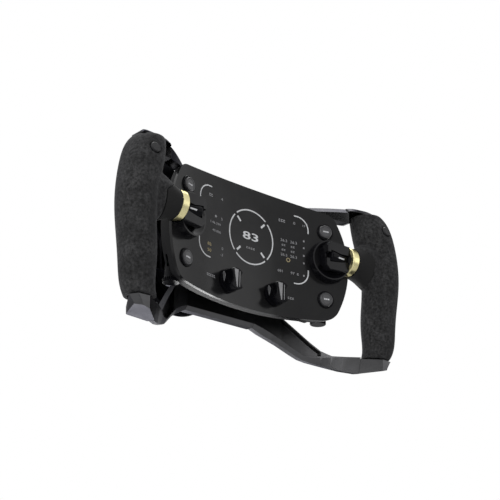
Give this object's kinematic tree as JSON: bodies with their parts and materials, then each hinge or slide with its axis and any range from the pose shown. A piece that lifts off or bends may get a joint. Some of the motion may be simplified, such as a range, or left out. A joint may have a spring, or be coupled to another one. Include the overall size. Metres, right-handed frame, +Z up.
{
  "type": "racing wheel",
  "caption": "Sim racing steering wheel rim with upright suede grips, a curved glossy control panel, thumb rollers, rotary knobs and pull paddles behind.",
  "frame": {"origin": "centre of the rear mounting face, on the hub axis", "axes": "+X to the driver's right, +Y away from the driver along the hub axis, +Z up with the wheel straight ahead"},
  "size_m": [0.3108, 0.1478, 0.1599],
  "materials": {
    "panel_gloss": "smooth gloss",
    "shell_plastic": "fine matt",
    "display_glass": "gloss",
    "circuit_board": "green solder mask",
    "bright_steel": "satin",
    "frame_metal": "dark anodised, satin",
    "adapter_metal": "black anodised, satin",
    "bezel_metal": "black anodised, satin",
    "button_plastic": "matt",
    "knob_gloss": "gloss",
    "pod_gloss": "satin to gloss",
    "ring_metal": "pale gold anodised, satin",
    "collar_leather": "smooth",
    "core_metal": "plain",
    "grip_suede": "suede nap",
    "paddle_metal": "black anodised, matt"
  },
  "bodies": {
    "frame": {"front_panel": "panel_gloss", "bezel_frame": "shell_plastic", "panel_housing": "shell_plastic", "rear_cover": "shell_plastic", "display_module": "display_glass", "display_spacer": "shell_plastic", "main_board": "circuit_board", "board_posts": "bright_steel", "housing_pillars": "frame_metal", "cover_screws": "bright_steel", "button_bezels": "bezel_metal", "button_switches": "circuit_board", "encoders": "bright_steel", "hub_plate": "frame_metal", "hub_adapter": "adapter_metal", "hub_bolts": "bright_steel", "hub_contact": "shell_plastic", "paddle_pins": "bright_steel", "thumb_pod_right": "pod_gloss", "thumb_pod_left": "pod_gloss", "bright_ring_right": "ring_metal", "bright_ring_left": "ring_metal", "spoke_collar_right": "collar_leather", "spoke_collar_left": "collar_leather", "grip_core_right": "core_metal", "grip_core_left": "core_metal", "grip_skin_right": "grip_suede", "grip_skin_left": "grip_suede", "upper_arm_right": "frame_metal", "upper_arm_left": "frame_metal", "lower_arm_right": "frame_metal", "lower_arm_left": "frame_metal", "foot_right": "frame_metal", "foot_left": "frame_metal", "paddle_bracket_right": "adapter_metal", "paddle_bracket_left": "adapter_metal"},
    "button_upper_right": {"button_upper_right": "button_plastic"},
    "button_lower_right": {"button_lower_right": "button_plastic"},
    "grip_button_right": {"grip_button_right": "button_plastic"},
    "knob_right": {"knob_right": "knob_gloss"},
    "thumb_roller_right": {"thumb_roller_right": "knob_gloss"},
    "side_dial_right": {"side_dial_right": "button_plastic"},
    "shift_paddle_right": {"shift_paddle_right": "paddle_metal"},
    "clutch_paddle_right": {"clutch_paddle_right": "paddle_metal"},
    "button_upper_left": {"button_upper_left": "button_plastic"},
    "button_lower_left": {"button_lower_left": "button_plastic"},
    "grip_button_left": {"grip_button_left": "button_plastic"},
    "knob_left": {"knob_left": "knob_gloss"},
    "thumb_roller_left": {"thumb_roller_left": "knob_gloss"},
    "side_dial_left": {"side_dial_left": "button_plastic"},
    "shift_paddle_left": {"shift_paddle_left": "paddle_metal"},
    "clutch_paddle_left": {"clutch_paddle_left": "paddle_metal"}
  },
  "joints": [
    {"name": "button_upper_right_press", "type": "slide", "parent": "frame", "child": "button_upper_right", "axis": [0.2849, 0.9586, 0], "range_m": [0, 0.0012], "stiffness_N_per_m": 600, "springref_m": -0.001},
    {"name": "button_lower_right_press", "type": "slide", "parent": "frame", "child": "button_lower_right", "axis": [0.2849, 0.9586, 0], "range_m": [0, 0.0012], "stiffness_N_per_m": 600, "springref_m": -0.001},
    {"name": "grip_button_right_press", "type": "slide", "parent": "frame", "child": "grip_button_right", "axis": [0, 0.9703, -0.2419], "range_m": [0, 0.001], "stiffness_N_per_m": 600, "springref_m": -0.001},
    {"name": "knob_right_turn", "type": "hinge", "parent": "frame", "child": "knob_right", "pos_m": [0.0262, -0.10824, -0.0427], "axis": [-0.0942, -0.9955, 0], "range_deg": [-150, 150]},
    {"name": "thumb_roller_right_roll", "type": "hinge", "parent": "frame", "child": "thumb_roller_right", "pos_m": [0.084, -0.1284, 0.0003], "axis": [1, 0, 0], "continuous": true},
    {"name": "side_dial_right_turn", "type": "hinge", "parent": "frame", "child": "side_dial_right", "pos_m": [0.083, -0.1045, -0.0552], "axis": [0, 0, 1], "continuous": true},
    {"name": "shift_paddle_right_pull", "type": "hinge", "parent": "frame", "child": "shift_paddle_right", "pos_m": [0.05, -0.076, 0], "axis": [0, 0, 1], "range_deg": [-4, 0], "stiffness_Nm_per_rad": 1.5, "springref_deg": 5.73},
    {"name": "clutch_paddle_right_pull", "type": "hinge", "parent": "frame", "child": "clutch_paddle_right", "pos_m": [0.04, -0.0757, -0.031], "axis": [0, 0, 1], "range_deg": [-9, 0], "stiffness_Nm_per_rad": 1, "springref_deg": 5.73},
    {"name": "button_upper_left_press", "type": "slide", "parent": "frame", "child": "button_upper_left", "axis": [-0.2849, 0.9586, 0], "range_m": [0, 0.0012], "stiffness_N_per_m": 600, "springref_m": -0.001},
    {"name": "button_lower_left_press", "type": "slide", "parent": "frame", "child": "button_lower_left", "axis": [-0.2849, 0.9586, 0], "range_m": [0, 0.0012], "stiffness_N_per_m": 600, "springref_m": -0.001},
    {"name": "grip_button_left_press", "type": "slide", "parent": "frame", "child": "grip_button_left", "axis": [0, 0.9703, -0.2419], "range_m": [0, 0.001], "stiffness_N_per_m": 600, "springref_m": -0.001},
    {"name": "knob_left_turn", "type": "hinge", "parent": "frame", "child": "knob_left", "pos_m": [-0.0262, -0.10824, -0.0427], "axis": [0.0942, -0.9955, 0], "range_deg": [-150, 150]},
    {"name": "thumb_roller_left_roll", "type": "hinge", "parent": "frame", "child": "thumb_roller_left", "pos_m": [-0.084, -0.1284, 0.0003], "axis": [1, 0, 0], "continuous": true},
    {"name": "side_dial_left_turn", "type": "hinge", "parent": "frame", "child": "side_dial_left", "pos_m": [-0.083, -0.1045, -0.0552], "axis": [0, 0, 1], "continuous": true},
    {"name": "shift_paddle_left_pull", "type": "hinge", "parent": "frame", "child": "shift_paddle_left", "pos_m": [-0.05, -0.076, 0], "axis": [0, 0, 1], "range_deg": [0, 4], "stiffness_Nm_per_rad": 1.5, "springref_deg": -5.73},
    {"name": "clutch_paddle_left_pull", "type": "hinge", "parent": "frame", "child": "clutch_paddle_left", "pos_m": [-0.04, -0.0757, -0.031], "axis": [0, 0, 1], "range_deg": [0, 9], "stiffness_Nm_per_rad": 1, "springref_deg": -5.73}
  ]
}
